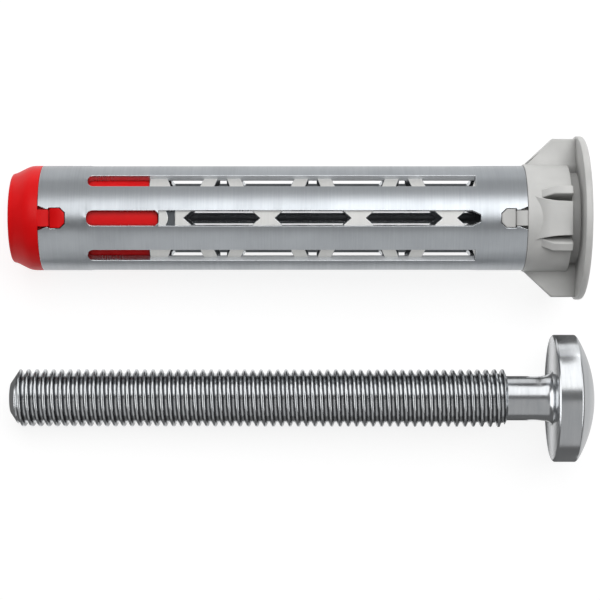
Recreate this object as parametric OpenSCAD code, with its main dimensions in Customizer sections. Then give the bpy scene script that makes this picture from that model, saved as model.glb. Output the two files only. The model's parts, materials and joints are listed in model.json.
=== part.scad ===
// Metal hollow wall anchor: a slotted steel sleeve with a plastic nut in its nose and a
// plastic collar at its mouth, lying beside the machine screw that sets it.
// Each item is drawn along its own axis from the sleeve's nose end, then laid on the ground.

/* [Sleeve] */
// Outside diameter of the rolled sleeve
sleeve_d = 10.7; // [10:0.1:12]
// Length of the sleeve
sleeve_l = 49; // [46:0.1:60]
// Thickness of the steel sheet
sheet = 0.65; // [0.5:0.05:0.8]
// Gap left where the rolled sheet's two edges meet
seam_gap = 0.05; // [0.02:0.01:0.3]

/* [Slots] */
// Width of every slot across the sleeve
slot_w = 1.54; // [1.2:0.02:1.8]
// Length of a slot's pointed end
slot_point = 0.8; // [0.4:0.05:1]
// Distance from the sleeve's end to the first cross web
first_web = 13.82; // [13.6:0.01:14.2]
// Distance from the last cross web to the sleeve's mouth
last_web = 7.79; // [7.5:0.01:8.4]
// Width of a straight row's web at its waist
web_w = 1.5; // [1.2:0.05:1.8]
// Half length of a slanted row's long slot
long_half = 2.68; // [2.3:0.02:2.74]
// Half length of a slanted row's short slot
short_half = 0.87; // [0.7:0.01:0.95]
// How far a slanted slot's ends lean
slot_lean = 0.44; // [0.2:0.02:0.6]
// How deep the webs are pressed into the sleeve
web_press = 0.45; // [0.1:0.01:0.5]
// Length of the last slot of a straight row, past the last web
end_slot_l = 2.3; // [1.8:0.1:2.6]
// Distance from the sleeve's end to the small slit in a straight row's first web
slit_start = 12.85; // [12.6:0.05:13]
// Length of that slit
slit_l = 0.35; // [0.2:0.05:0.5]
// Angle from the front row to the two rear slanted rows
rear_angle = 132; // [130:0.5:136]
// Width of the rear row's slots, which the spine divides
rear_w = 1.8; // [1.7:0.05:2.4]
// Width of the spine that runs down the rear row and holds the seam
spine_w = 1.24; // [0.9:0.02:1.4]

/* [Windows] */
// Distance from the sleeve's end to the windows that show the nut
window_start = 4.88; // [4.6:0.02:5.4]
// Length of the windows in the slanted rows
side_window_l = 6.2; // [5.6:0.1:6.6]
// Bridge between a slanted row's window and its first slot
side_bridge = 1.82; // [1.2:0.02:2]
// Corner cut at a window's end beside the nose, twice that of its other end
window_corner = 0.6; // [0.2:0.05:0.7]

/* [Nut] */
// Length of the nut's nose outside the sleeve
nose_l = 3.15; // [2.6:0.05:4.5]
// Length of the nose's straight part beside the sleeve
nose_band = 1.2; // [0.8:0.1:1.6]
// Radius of the nose's end face
nose_face_r = 4.6; // [4:0.05:4.9]
// Rounding of the nose's end
nose_round = 0.4; // [0.1:0.05:0.5]
// Length of the nut inside the sleeve
nut_l = 12; // [11.9:0.05:12.3]
// Depth of the thread in the nut's bore
thread_depth = 0.5; // [0.3:0.05:0.6]
// Lead-in at the bore's inner mouth
bore_lead = 0.5; // [0.2:0.1:0.9]

/* [Locking tabs] */
// Neck length of the nut's tab
nut_neck_l = 1.16; // [0.9:0.02:1.3]
// Neck width of the nut's tab
nut_neck_w = 1.72; // [1.4:0.02:1.8]
// Head length of the nut's tab
nut_head_l = 1.53; // [1.2:0.01:1.7]
// Head width of the nut's tab
nut_head_w = 2; // [1.9:0.01:2.4]
// Neck length of the collar's tab
collar_neck_l = 1.19; // [0.9:0.01:1.3]
// Neck width of the collar's tab
collar_neck_w = 1.56; // [1.3:0.02:1.7]
// Head length of the collar's tab
collar_head_l = 1.44; // [1.2:0.01:1.6]
// Head width of the collar's tab
collar_head_w = 1.86; // [1.8:0.01:2.3]
// Corner cut at the end of a tab's head
tab_corner = 0.5; // [0.1:0.05:0.6]
// How far the notch flares beside a tab's neck
notch_flare = 0.34; // [0.1:0.02:0.5]
// Length of that flare
flare_l = 0.83; // [0.4:0.01:0.85]

/* [Collar] */
// How far the collar's hub stands past the sleeve's outside
hub_rise = 0.15; // [0:0.05:0.4]
// Length of the hub past the sleeve's mouth
hub_l = 4.45; // [4:0.05:5.2]
// Gap between the hub and the flange
flange_gap = 0.9; // [0.6:0.01:1.5]
// How far the neck in that gap lies in from the hub
neck_step = 0.8; // [0.4:0.05:1.1]
// Radius of the flange
flange_r = 8.37; // [8.2:0.01:10]
// Thickness of the flange
flange_t = 0.72; // [0.6:0.01:1.4]
// Rounding of the flange's outer edge
flange_round = 0.35; // [0.1:0.05:0.5]
// Radius over the two wings
wing_r = 8.1; // [7.4:0.05:8.15]
// Thickness of a wing
wing_t = 1.1; // [0.8:0.05:1.6]
// Length of a wing's sloping front edge
wing_lead = 2.97; // [2.2:0.01:3.6]
// How far the front and rear pads stand past the sleeve's outside
pad_rise = 0.65; // [0.5:0.05:0.95]
// Width of a pad
pad_w = 3.5; // [3.2:0.1:3.9]
// Width of a pad's foot beside the sleeve
pad_foot_w = 7; // [5:0.1:7.4]
// Length of a pad's sloping front
pad_lead = 1.7; // [1.2:0.1:2.2]
// How far the ribs beside the pads stand past the sleeve's outside
rib_rise = 1.1; // [0.85:0.05:1.4]
// Thickness of a rib
rib_t = 0.9; // [0.6:0.05:1]
// Angle from a pad's middle to a rib
rib_angle = 26.5; // [26:0.5:32]
// Distance from the sleeve's mouth to a rib's start
rib_start = 1.2; // [0.6:0.1:1.6]
// Length of a rib's sloping front
rib_lead = 1.3; // [0.8:0.1:1.6]
// Angle from a pad's middle to the pocket beside it
pocket_angle = 19.8; // [19:0.1:21]
// Width of a pocket
pocket_w = 0.6; // [0.4:0.05:0.8]
// Distance from the sleeve's mouth to a pocket's rounded end
pocket_start = 1.6; // [1.2:0.1:2.4]
// Depth of a pocket below the hub
pocket_depth = 0.8; // [0.4:0.05:1]
// Length of the collar's spigot inside the sleeve
spigot_l = 3.2; // [2.9:0.1:4]
// Clearance around the screw in the collar's passage
screw_gap = 0.25; // [0.1:0.05:0.4]

/* [Screw] */
// Radius over the screw's thread
thread_r = 3; // [2.5:0.05:3.05]
// Length of the screw under its head
screw_l = 56.22; // [50:0.01:70]
// Distance that the screw's point lies past the sleeve's end
screw_past = 3.72; // [2:0.01:6]
// Length of the plain shank between the thread and the head
shank_l = 4.73; // [3.5:0.01:6]
// Length over which the thread runs out beside the shank
thread_out = 0.3; // [0.2:0.05:0.8]
// Radius of the plain shank
shank_r = 2.3; // [2:0.05:2.45]
// Radius of the hollow that joins the shank to the head
shank_fillet = 0.9; // [0.4:0.05:1.2]
// Radius of the screw's point
point_r = 1.6; // [1.4:0.05:2.3]
// Length of the chamfer at the screw's point
point_l = 0.95; // [0.6:0.05:1.4]
// Radius of the head
head_r = 6.59; // [5.6:0.01:7.2]
// Height of the head's straight side
head_side = 2.5; // [1.6:0.01:2.8]
// Height of the head's dome
head_dome = 1.8; // [1.2:0.01:2.2]
// Chamfer on the head's edges
head_edge = 0.18; // [0.05:0.01:0.3]
// Width across the cross recess
recess_w = 4.6; // [3.6:0.1:5]
// Width of one arm of the recess
recess_arm = 1.05; // [0.8:0.05:1.3]
// Depth of the recess from the head's top
recess_depth = 2.6; // [1.8:0.1:3]

/* [Layout] */
// Distance between the axes of the sleeve and the screw
spacing = 18.7; // [16.2:0.01:30]
// Clearance between the plastic pieces and the sleeve
fit_gap = 0.05; // [0.03:0.01:0.1]

/* [Hidden] */
$fn = 96;
past = 1;
sleeve_r = sleeve_d / 2;
sleeve_bore_r = sleeve_r - sheet;
plug_r = sleeve_bore_r - fit_gap;
half_slot = slot_w / 2;
web_lap = sheet / 2;
straight_rows = [0, 90, 180, 270];
rear_side = 180;
slanted_rows = [[45, 1], [rear_angle, -1], [360 - rear_angle, 1], [315, -1]];
tab_sides = [0, 180];
wing_sides = [90, 270];
cells = 3;
hub_r = sleeve_r + hub_rise;
neck_r = hub_r - neck_step;
pad_r = sleeve_r + pad_rise;
rib_r = sleeve_r + rib_rise;
thread_bore_r = thread_r - thread_depth;
passage_r = thread_r + screw_gap;
fin_root_r = passage_r + sheet;
web_pitch = (sleeve_l - first_web - last_web) / cells;

// How much wider than the others a straight row's slots are
function row_widen(angle) = angle == rear_side ? rear_w / slot_w : 1;

// Where the webs and the cells between them lie along the sleeve
function web_at(k) = first_web + k * web_pitch;
function cell_at(k) = web_at(k) + web_pitch / 2;
channel_start = nut_l + fit_gap;
straight_end = web_at(cells) + web_w / 2 + end_slot_l;
slanted_start = window_start + side_window_l + side_bridge;
slanted_end = web_at(cells) + long_half;

// Where the collar's steps lie along the sleeve's axis
hub_end = sleeve_l + hub_l;
flange_back = hub_end + flange_gap;
flange_front = flange_back + flange_t;

// Where the screw's steps lie, from the sleeve's nose end
screw_tip = -screw_past;
head_back = screw_tip + screw_l;
head_rim = head_back + head_side;
head_top = head_rim + head_dome;
thread_end = head_back - shank_l;
rim_r = head_r - head_edge;
dome_r = (rim_r * rim_r + head_dome * head_dome) / (2 * head_dome);

// Each item rests on two rims, so its axis rises towards the larger one
sleeve_tilt = atan((flange_r - sleeve_r) / (flange_back + nose_band));
sleeve_lift = sleeve_r * cos(sleeve_tilt) + nose_band * sin(sleeve_tilt);
screw_rest = screw_tip + point_l;
screw_tilt = atan((head_r - thread_r) / (head_back + head_edge - screw_rest));
screw_lift = thread_r * cos(screw_tilt) - screw_rest * sin(screw_tilt);

// The whole is centred over the origin
low_x = min(
    -nose_l * cos(sleeve_tilt) - (nose_face_r - nose_round) * sin(sleeve_tilt),
    screw_tip * cos(screw_tilt) - point_r * sin(screw_tilt)
);
high_x = max(
    flange_front * cos(sleeve_tilt) + (flange_r - flange_round) * sin(sleeve_tilt),
    (head_top - dome_r) * cos(screw_tilt) + dome_r
);
middle_x = (low_x + high_x) / 2;
sleeve_y = (spacing + head_r - flange_r) / 2;
screw_y = sleeve_y - spacing;

// Turns a piece drawn along Z, with angle 0 at +X, to lie along X with angle 0 upwards
module along_x() {
    rotate([0, 90, 0])
        rotate([0, 0, 180])
            children();
}

module lay_sleeve() {
    translate([-middle_x, sleeve_y, sleeve_lift])
        rotate([0, -sleeve_tilt, 0])
            along_x()
                children();
}

module lay_screw() {
    translate([-middle_x, screw_y, screw_lift])
        rotate([0, -screw_tilt, 0])
            along_x()
                children();
}

// A tube wall between two radii, along Z
module shell(outer_r, inner_r, from, to) {
    difference() {
        translate([0, 0, from])
            cylinder(r = outer_r, h = to - from);
        translate([0, 0, from - past])
            cylinder(r = inner_r, h = to - from + 2 * past);
    }
}

// A flat outline [across, along] carried outwards from the axis at one angle
module radial(angle, from_r, to_r) {
    rotate([0, 0, angle])
        translate([from_r, 0, 0])
            rotate([90, 0, 90])
                linear_extrude(to_r - from_r)
                    children();
}

// A slot with pointed ends, its straight sides widened by extra
module pointed_slot(from, to, extra = 0) {
    side = half_slot + extra;
    polygon([
        [0, from],
        [half_slot, from + slot_point],
        [side, from + slot_point],
        [side, to - slot_point],
        [half_slot, to - slot_point],
        [0, to],
        [-half_slot, to - slot_point],
        [-side, to - slot_point],
        [-side, from + slot_point],
        [-half_slot, from + slot_point]
    ]);
}

// A slot with leaning ends: its long side is at +across when side is 1
module leaning_slot(from, to, side, extra = 0) {
    outer = half_slot + extra;
    polygon([
        [side * outer, from],
        [side * outer, to],
        [side * half_slot, to],
        [-side * half_slot, to - slot_lean],
        [-side * outer, to - slot_lean],
        [-side * outer, from + slot_lean],
        [-side * half_slot, from + slot_lean],
        [side * half_slot, from]
    ]);
}

// A slot whose far end has cut corners and whose near end is pointed
module end_slot(from, to, extra = 0) {
    side = half_slot + extra;
    polygon([
        [0, from],
        [half_slot, from + slot_point],
        [side, from + slot_point],
        [side, to - slot_point],
        [half_slot, to - slot_point],
        [half_slot - slot_point / 2, to],
        [-half_slot + slot_point / 2, to],
        [-half_slot, to - slot_point],
        [-side, to - slot_point],
        [-side, from + slot_point],
        [-half_slot, from + slot_point]
    ]);
}

// A window over the nut, its corners cut more at the nose's end than at the other
module window_slot(from, to) {
    far_corner = window_corner / 2;
    polygon([
        [half_slot - window_corner, from],
        [half_slot, from + window_corner],
        [half_slot, to - far_corner],
        [half_slot - far_corner, to],
        [-half_slot + far_corner, to],
        [-half_slot, to - far_corner],
        [-half_slot, from + window_corner],
        [-half_slot + window_corner, from]
    ]);
}

module straight_openings(extra) {
    channel(slit_start, slit_start + slit_l, extra);
    for (k = [0 : cells - 1])
        pointed_slot(web_at(k) + web_w / 2, web_at(k + 1) - web_w / 2, extra);
    end_slot(web_at(cells) + web_w / 2, straight_end, extra);
}

module slanted_openings(side, extra) {
    leaning_slot(slanted_start, first_web + long_half, side, extra);
    for (k = [1 : cells])
        leaning_slot(web_at(k) - long_half, web_at(k) + long_half, side, extra);
    for (k = [0 : cells - 1])
        leaning_slot(cell_at(k) - short_half, cell_at(k) + short_half, -side, extra);
}

// A strip of one width along a row
module strip(width, from, to) {
    translate([-width / 2, from])
        square([width, to - from]);
}

module channel(from, to, extra = 0) {
    strip(slot_w + 2 * extra, from, to);
}

// The webs of one row: what its openings leave of the channel, a little wider than it
module straight_webs() {
    difference() {
        channel(channel_start, straight_end, web_lap);
        straight_openings(web_lap + past);
    }
}

module slanted_webs(side) {
    difference() {
        channel(channel_start, slanted_end, web_lap);
        slanted_openings(side, web_lap + past);
    }
}

// Outline of a T-shaped tab that grows from along = 0, with a flared mouth in a notch
module tab(neck_l, neck_w, head_l, head_w, gap, flare) {
    neck = neck_w / 2 + gap;
    head = head_w / 2 + gap;
    step = neck_l - gap;
    end = neck_l + head_l + gap;
    polygon([
        [neck + flare, -past],
        [neck + flare, 0],
        [neck, flare_l],
        [neck, step],
        [head, step],
        [head, end - tab_corner],
        [head - tab_corner, end],
        [-head + tab_corner, end],
        [-head, end - tab_corner],
        [-head, step],
        [-neck, step],
        [-neck, flare_l],
        [-neck - flare, 0],
        [-neck - flare, -past]
    ]);
}

module nut_tab(gap, flare) {
    tab(nut_neck_l, nut_neck_w, nut_head_l, nut_head_w, gap, flare);
}

module collar_tab(gap, flare) {
    translate([0, sleeve_l])
        mirror([0, 1])
            tab(collar_neck_l, collar_neck_w, collar_head_l, collar_head_w, gap, flare);
}

module sleeve() {
    color("lightsteelblue")
        lay_sleeve()
            difference() {
                union() {
                    difference() {
                        shell(sleeve_r, sleeve_bore_r, 0, sleeve_l);
                        for (angle = straight_rows)
                            radial(angle, 0, sleeve_r + past) {
                                scale([row_widen(angle), 1])
                                    channel(channel_start, straight_end);
                                window_slot(window_start, channel_start);
                            }
                        for (row = slanted_rows)
                            radial(row[0], 0, sleeve_r + past) {
                                channel(channel_start, slanted_end);
                                window_slot(window_start, window_start + side_window_l);
                            }
                    }
                    intersection() {
                        shell(sleeve_r - web_press, sleeve_bore_r - web_press, 0, sleeve_l);
                        union() {
                            for (angle = straight_rows)
                                radial(angle, 0, sleeve_r + past)
                                    scale([row_widen(angle), 1])
                                        straight_webs();
                            for (row = slanted_rows)
                                radial(row[0], 0, sleeve_r + past)
                                    slanted_webs(row[1]);
                        }
                    }
                    intersection() {
                        shell(sleeve_r, sleeve_bore_r, 0, sleeve_l);
                        radial(rear_side, 0, sleeve_r + past)
                            strip(spine_w, channel_start - web_lap, straight_end + web_lap);
                    }
                }
                for (angle = tab_sides)
                    radial(angle, 0, sleeve_r + past) {
                        nut_tab(fit_gap, notch_flare);
                        collar_tab(fit_gap, notch_flare);
                    }
                radial(rear_side, 0, sleeve_r + past)
                    strip(seam_gap, -past, sleeve_l + past);
            }
}

// Half section of the nut: rounded nose, band beside the sleeve, plug inside it
module nut_section() {
    difference() {
        union() {
            translate([0, -nose_l])
                square([nose_face_r - nose_round, nose_l]);
            translate([nose_face_r - nose_round, -nose_l + nose_round])
                circle(r = nose_round);
            polygon([
                [0, -nose_l + nose_round],
                [nose_face_r, -nose_l + nose_round],
                [sleeve_r, -nose_band],
                [sleeve_r, 0],
                [0, 0]
            ]);
            translate([0, -past])
                square([plug_r, nut_l + past]);
        }
        translate([0, -nose_l - past])
            square([thread_bore_r, nose_l + nut_l + 2 * past]);
        polygon([
            [0, nut_l - bore_lead],
            [thread_bore_r, nut_l - bore_lead],
            [thread_bore_r + bore_lead, nut_l],
            [thread_bore_r + bore_lead, nut_l + past],
            [0, nut_l + past]
        ]);
    }
}

module threaded_nut() {
    color("red")
        lay_sleeve() {
            rotate_extrude()
                nut_section();
            intersection() {
                shell(sleeve_r, plug_r - sheet, -nose_band, nut_l);
                union() {
                    for (angle = tab_sides)
                        radial(angle, 0, sleeve_r + past)
                            nut_tab(0, 0);
                }
            }
        }
}

// Half section of the collar: spigot, hub, neck and rounded flange
module collar_section() {
    difference() {
        union() {
            translate([0, sleeve_l - spigot_l])
                square([plug_r, spigot_l + past]);
            translate([0, sleeve_l])
                square([hub_r, hub_l]);
            translate([0, hub_end - past])
                square([neck_r, past + flange_gap + flange_t / 2]);
            translate([0, flange_back])
                square([flange_r - flange_round, flange_t]);
            translate([0, flange_back])
                square([flange_r, flange_t - flange_round]);
            translate([flange_r - flange_round, flange_front - flange_round])
                circle(r = flange_round);
        }
        translate([0, sleeve_l - spigot_l - past])
            square([passage_r, spigot_l + flange_front - sleeve_l + 2 * past]);
    }
}

// A flat fin across the axis, with a sloping front edge
module fin(angle, thick, top_r, start, lead, end) {
    rotate([0, 0, angle])
        translate([0, thick / 2, 0])
            rotate([90, 0, 0])
                linear_extrude(thick)
                    polygon([
                        [fin_root_r, start],
                        [sleeve_r, start],
                        [top_r, start + lead],
                        [top_r, end],
                        [fin_root_r, end]
                    ]);
}

// Half section of the cone and ring that the pads are cut from
module pad_section() {
    polygon([
        [fin_root_r, sleeve_l],
        [sleeve_r, sleeve_l],
        [pad_r, sleeve_l + pad_lead],
        [pad_r, hub_end],
        [fin_root_r, hub_end]
    ]);
}

module pad_outline() {
    polygon([
        [-pad_foot_w / 2, sleeve_l - past],
        [pad_foot_w / 2, sleeve_l - past],
        [pad_foot_w / 2, sleeve_l],
        [pad_w / 2, sleeve_l + pad_lead],
        [pad_w / 2, hub_end + past],
        [-pad_w / 2, hub_end + past],
        [-pad_w / 2, sleeve_l + pad_lead],
        [-pad_foot_w / 2, sleeve_l]
    ]);
}

// A round-ended pocket that opens at the hub's end
module pocket_outline() {
    translate([0, sleeve_l + pocket_start + pocket_w / 2])
        circle(d = pocket_w);
    strip(pocket_w, sleeve_l + pocket_start + pocket_w / 2, hub_end + flange_gap / 2);
}

module flange_collar() {
    color("gainsboro")
        lay_sleeve() {
            difference() {
                rotate_extrude()
                    collar_section();
                for (angle = tab_sides)
                    for (side = [-1, 1])
                        radial(angle + side * pocket_angle, hub_r - pocket_depth, hub_r + past)
                            pocket_outline();
            }
            for (angle = wing_sides)
                fin(angle, wing_t, wing_r, sleeve_l, wing_lead, flange_back + flange_t / 2);
            for (angle = tab_sides) {
                for (side = [-1, 1])
                    fin(angle + side * rib_angle, rib_t, rib_r,
                        sleeve_l + rib_start, rib_lead, hub_end);
                intersection() {
                    rotate_extrude()
                        pad_section();
                    radial(angle, 0, pad_r + past)
                        pad_outline();
                }
                intersection() {
                    shell(sleeve_r, plug_r - sheet, sleeve_l - spigot_l, sleeve_l + rib_start);
                    radial(angle, 0, sleeve_r + past)
                        collar_tab(0, 0);
                }
            }
        }
}

// Half section of the screw: chamfered point, thread cylinder, shank with a hollow, pan head
module screw_section() {
    difference() {
        union() {
            polygon([
                [0, screw_tip],
                [point_r, screw_tip],
                [thread_r, screw_tip + point_l],
                [thread_r, thread_end - thread_out],
                [shank_r, thread_end],
                [shank_r, head_back - shank_fillet],
                [shank_r + shank_fillet, head_back],
                [rim_r, head_back],
                [head_r, head_back + head_edge],
                [head_r, head_rim - head_edge],
                [rim_r, head_rim],
                [0, head_rim]
            ]);
            intersection() {
                translate([0, head_top - dome_r])
                    circle(r = dome_r);
                translate([0, head_rim])
                    square([rim_r, head_dome + past]);
            }
        }
        translate([shank_r + shank_fillet, head_back - shank_fillet])
            circle(r = shank_fillet);
    }
}

module machine_screw() {
    color("silver")
        lay_screw()
            difference() {
                rotate_extrude()
                    screw_section();
                intersection() {
                    translate([0, 0, head_top - recess_depth])
                        cylinder(r1 = recess_arm, r2 = recess_w / 2, h = recess_depth);
                    union() {
                        for (angle = [45, 135])
                            rotate([0, 0, angle])
                                translate([-recess_w / 2, -recess_arm / 2, head_rim - recess_depth])
                                    cube([recess_w, recess_arm, 2 * recess_depth]);
                    }
                }
            }
}

sleeve();
threaded_nut();
flange_collar();
machine_screw();
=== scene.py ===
# %% [markdown]
# # A hollow wall anchor and its screw
# The object is two loose items that lie side by side. The upper one is a sleeve rolled from
# zinc-plated steel sheet, with a red plastic nut in its nose and a grey plastic collar at its
# mouth. The lower one is the pan-head machine screw that draws the nut back and folds the sleeve.
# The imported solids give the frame: every piece below is worked out along one of their two axes.

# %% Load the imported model
import json

import bmesh
import bpy
import numpy as np
from mathutils import Matrix


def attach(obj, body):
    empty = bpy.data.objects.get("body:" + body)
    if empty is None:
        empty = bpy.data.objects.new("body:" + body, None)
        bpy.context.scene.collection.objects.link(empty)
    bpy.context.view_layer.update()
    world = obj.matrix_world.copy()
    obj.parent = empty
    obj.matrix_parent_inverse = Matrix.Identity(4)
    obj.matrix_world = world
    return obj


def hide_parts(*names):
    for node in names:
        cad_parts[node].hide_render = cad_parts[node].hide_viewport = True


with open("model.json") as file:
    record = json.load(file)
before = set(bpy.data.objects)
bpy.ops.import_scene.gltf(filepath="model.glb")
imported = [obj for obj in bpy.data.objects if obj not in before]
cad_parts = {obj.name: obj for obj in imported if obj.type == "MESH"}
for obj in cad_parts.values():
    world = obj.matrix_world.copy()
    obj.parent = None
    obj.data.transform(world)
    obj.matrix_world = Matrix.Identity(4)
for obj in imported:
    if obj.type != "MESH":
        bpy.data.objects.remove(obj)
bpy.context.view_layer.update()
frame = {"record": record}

# %% [markdown]
# ## Two axes
# Sizes are in millimetres, as on a drawing, and one factor turns them to Blender's metres. The
# record holds a point on each item's axis and the axis's direction, so nothing is placed by eye.
# A place on an item is then three numbers: how far along the axis from the sleeve's nose end,
# how far out from the axis, and the angle round it, 0 straight up and growing towards -Y.

# %% Axes from the record
MM = 0.001
# How far along its axis each mount's point lies.
NUT_MARK = 4.0
SCREW_MARK = 10.0
mounts = {mount["name"]: mount for mount in frame["record"]["mounts"]}


def axis_frame(mount, mark, sign):
    """An axis through a mount: its zero point in mm, and unit vectors along, up and sideways."""
    along = sign * np.array(mounts[mount]["axis"], float)
    along /= np.linalg.norm(along)
    side = np.array([0.0, -1.0, 0.0])
    up = np.cross(side, along)
    zero = np.array(mounts[mount]["pos_m"]) / MM - mark * along
    return zero, along, up, side


sleeve_axis = axis_frame("nut_thread", NUT_MARK, 1)
screw_axis = axis_frame("screw_thread", SCREW_MARK, -1)
sleeve_tilt = np.arctan2(sleeve_axis[1][2], sleeve_axis[1][0])
screw_tilt = np.arctan2(screw_axis[1][2], screw_axis[1][0])
print("tilts in degrees:", np.degrees([sleeve_tilt, screw_tilt]).round(3))

# %% [markdown]
# ## From grids of points to meshes
# Each surface is a grid: a function of two numbers gives every point at once as numpy arrays.
# One helper turns points on an axis into places in the scene, one numbers the quads of a grid,
# and one joins grids into an object, merges the doubles at seams and poles, and shades it smooth.

# %% Helpers for grid surfaces
MERGE = 2e-6


def place(axis, along_mm, out_mm, degrees):
    """Zero point + along * axis + out * (cos angle * up + sin angle * sideways), in metres."""
    zero, along, up, side = axis
    s, r, a = np.broadcast_arrays(along_mm, out_mm, np.radians(degrees))
    radial = np.cos(a)[..., None] * up + np.sin(a)[..., None] * side
    return (zero + s[..., None] * along + r[..., None] * radial) * MM


def place_flat(axis, along_mm, out_mm, across_mm, degrees):
    """As place, then moved across_mm along the tangent at that angle: for flat-sided fins."""
    zero, along, up, side = axis
    s, r, t = np.broadcast_arrays(along_mm, out_mm, across_mm)
    a = np.radians(degrees)
    radial = np.cos(a) * up + np.sin(a) * side
    tangent = np.cos(a) * side - np.sin(a) * up
    return (zero + s[..., None] * along + r[..., None] * radial + t[..., None] * tangent) * MM


def grid_quads(rows, columns, wrap):
    """Quad corners of a grid: each point with its right, diagonal and lower neighbours."""
    i = np.arange(rows - 1)[:, None]
    j = np.arange(columns if wrap else columns - 1)[None, :]
    k = (j + 1) % columns
    corners = [i * columns + j, i * columns + k, (i + 1) * columns + k, (i + 1) * columns + j]
    return np.stack(corners, axis=-1).reshape(-1, 4)


def make_object(name, grids, wraps, closed=True, keep=None, slots=None, flank=None):
    """One object from grids of points shaped (rows, columns, 3).

    keep masks the quads to build, slots gives each grid or each quad its material slot, and flank
    is a number for each point, which a material reads to paint shade.
    """
    points, quads, quad_slots, start = [], [], [], 0
    for number, (grid, wrap) in enumerate(zip(grids, wraps)):
        rows, columns = grid.shape[:2]
        corners = grid_quads(rows, columns, wrap)
        slot = np.broadcast_to(np.ravel(slots[number]) if slots else 0, len(corners))
        if keep is not None and keep[number] is not None:
            kept = keep[number].ravel()
            corners, slot = corners[kept], slot[kept]
        points.append(grid.reshape(-1, 3))
        quads.append(corners + start)
        quad_slots.append(slot)
        start += rows * columns
    mesh = bpy.data.meshes.new(name)
    mesh.from_pydata(np.concatenate(points).tolist(), [], np.concatenate(quads).tolist())
    mesh.polygons.foreach_set("material_index", np.concatenate(quad_slots).astype(np.int32))
    if flank is not None:
        layer = mesh.attributes.new("flank", "FLOAT", "POINT")
        layer.data.foreach_set("value", flank.ravel().astype(np.float32))
    work = bmesh.new()
    work.from_mesh(mesh)
    bmesh.ops.remove_doubles(work, verts=work.verts, dist=MERGE)
    loose = [vertex for vertex in work.verts if not vertex.link_faces]
    bmesh.ops.delete(work, geom=loose, context="VERTS")
    if closed:
        bmesh.ops.recalc_face_normals(work, faces=work.faces)
    work.to_mesh(mesh)
    work.free()
    mesh.shade_smooth()
    piece = bpy.data.objects.new(name, mesh)
    bpy.context.scene.collection.objects.link(piece)
    print(f"{name}: {len(mesh.vertices)} points, {len(mesh.polygons)} faces")
    return piece


def add_modifier(piece, kind, **settings):
    """Add a modifier and set its properties."""
    modifier = piece.modifiers.new(kind.title(), kind)
    for key, value in settings.items():
        setattr(modifier, key, value)
    return modifier


def smooth_step(x):
    """0 below 0, 1 above 1, and the cubic 3x^2 - 2x^3 between."""
    x = np.clip(x, 0, 1)
    return x * x * (3 - 2 * x)


# %% [markdown]
# ## The slotted sleeve
# The real sleeve is punched flat and rolled into a tube: eight rows of openings leave eight
# legs that fold outwards when the screw is tightened. Between the openings thin webs are pressed
# a little inwards. A boolean cut for every slot would leave ragged triangles, so the sheet is
# drawn as it is punched. It is one grid round the whole tube, and in each row two grid lines
# follow the edges of the row's openings: the squares between them are left out where the row is
# open. The webs are small patches set across the open channels. Even rows are straight and odd
# rows are slanted; the rear rows have widths of their own.

# %% Sizes of the sleeve
SLEEVE_R = 5.35
SLEEVE_L = 49.0
SHEET = 0.65
SLOT_HALF = 0.77
SLOT_POINT = 0.8
FIRST_WEB = 13.82
WEB_PITCH = 9.13
WEB_W = 1.5
LONG_HALF = 2.68
SHORT_HALF = 0.87
LEAN = 0.44
END_SLOT_L = 2.3
WINDOW_START = 4.88
SIDE_WINDOW_L = 6.2
SIDE_BRIDGE = 1.82
WINDOW_CORNER = 0.6
FAR_CORNER = 0.3
FIT_GAP = 0.05
NOTCH_FLARE = 0.34
FLARE_L = 0.83
TAB_CORNER = 0.5
NUT_L = 12.0
# A tab's neck length and width, then its head's length and width.
NUT_TAB = (1.16, 1.72, 1.53, 2.0)
COLLAR_TAB = (1.19, 1.56, 1.44, 1.86)
REAR_HALF = 0.9
REAR_SLANT_HALF = 0.6
SPINE_HALF = 0.62
CELLS = 3
ROW_ANGLES = np.array([0, 45, 90, 131, 180, 229, 270, 315])
TURNS = len(ROW_ANGLES)
REAR = 4
web_at = FIRST_WEB + WEB_PITCH * np.arange(CELLS + 1)
channel_start = NUT_L + FIT_GAP
straight_end = web_at[-1] + WEB_W / 2 + END_SLOT_L
window_end = WINDOW_START + SIDE_WINDOW_L
slanted_start = window_end + SIDE_BRIDGE
slanted_end = web_at[-1] + LONG_HALF
row_half = [SLOT_HALF, SLOT_HALF, SLOT_HALF, REAR_SLANT_HALF, REAR_HALF, REAR_SLANT_HALF,
            SLOT_HALF, SLOT_HALF]
mm_to_degrees = np.degrees(1 / SLEEVE_R)
print("webs at", web_at.round(2), "mm")

# %% Edge lines and openings of a row
# A square shoulder in an edge line takes this much length.
STEP = 0.04
ROUND_POINTS = 5


def round_end(at, length, half):
    """Edge marks (along, half width) of an opening's first end: a quarter circle inside it."""
    turn = np.linspace(0, np.pi / 2, ROUND_POINTS)
    s = np.append(at - length, at + length * (1 - np.cos(turn)))
    return list(zip(s, np.append(half, half - length + length * np.sin(turn))))


def notch(neck_l, neck_w, head_l, head_w):
    """Edge marks of a T-shaped notch that is open at along = 0, and how far it reaches."""
    neck, head = neck_w / 2 + FIT_GAP, head_w / 2 + FIT_GAP
    step, end = neck_l - FIT_GAP, neck_l + head_l + FIT_GAP
    marks = [(0, neck + NOTCH_FLARE), (FLARE_L, neck), (step - STEP, neck), (step, head),
             (end - TAB_CORNER, head), (end, head - TAB_CORNER), (end + TAB_CORNER, SLOT_HALF)]
    return marks, end


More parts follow.
